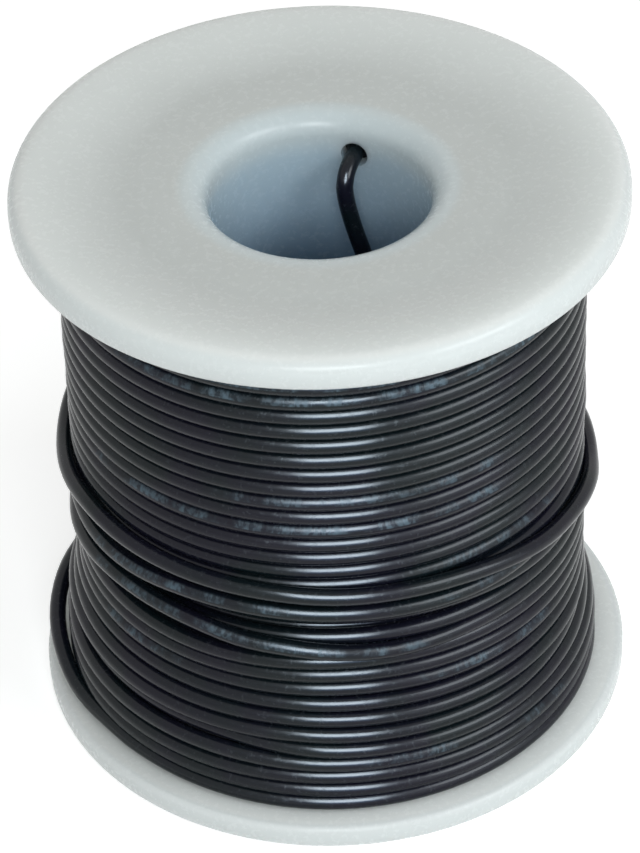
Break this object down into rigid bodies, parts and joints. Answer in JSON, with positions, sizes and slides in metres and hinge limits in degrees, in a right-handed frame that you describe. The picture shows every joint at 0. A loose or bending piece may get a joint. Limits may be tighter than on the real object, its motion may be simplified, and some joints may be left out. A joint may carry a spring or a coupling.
{
  "type": "wire spool",
  "caption": "Flanged plastic spool wound full of insulated stranded hook-up wire, with a through bore for a rod and the wire's inner end in the bore.",
  "frame": {"origin": "centre of the circle that the lower rim rests on", "axes": "+Z along the bore's axis, from the lower flange to the upper one; +Y towards the side of the hole that the wire starts through, about 19 degrees off it"},
  "size_m": [0.07, 0.07, 0.072],
  "materials": {
    "natural_plastic": "satin, milky translucent",
    "black_insulation": "glossy",
    "copper_strands": "bright cut copper"
  },
  "bodies": {
    "root": {"lower_spool_half": "natural_plastic", "upper_spool_half": "natural_plastic", "wire_inner_layers": "black_insulation", "wire_outer_layer": "black_insulation", "wire_outer_end_copper": "copper_strands", "wire_inner_end": "black_insulation", "wire_inner_end_copper": "copper_strands"}
  },
  "joints": []
}
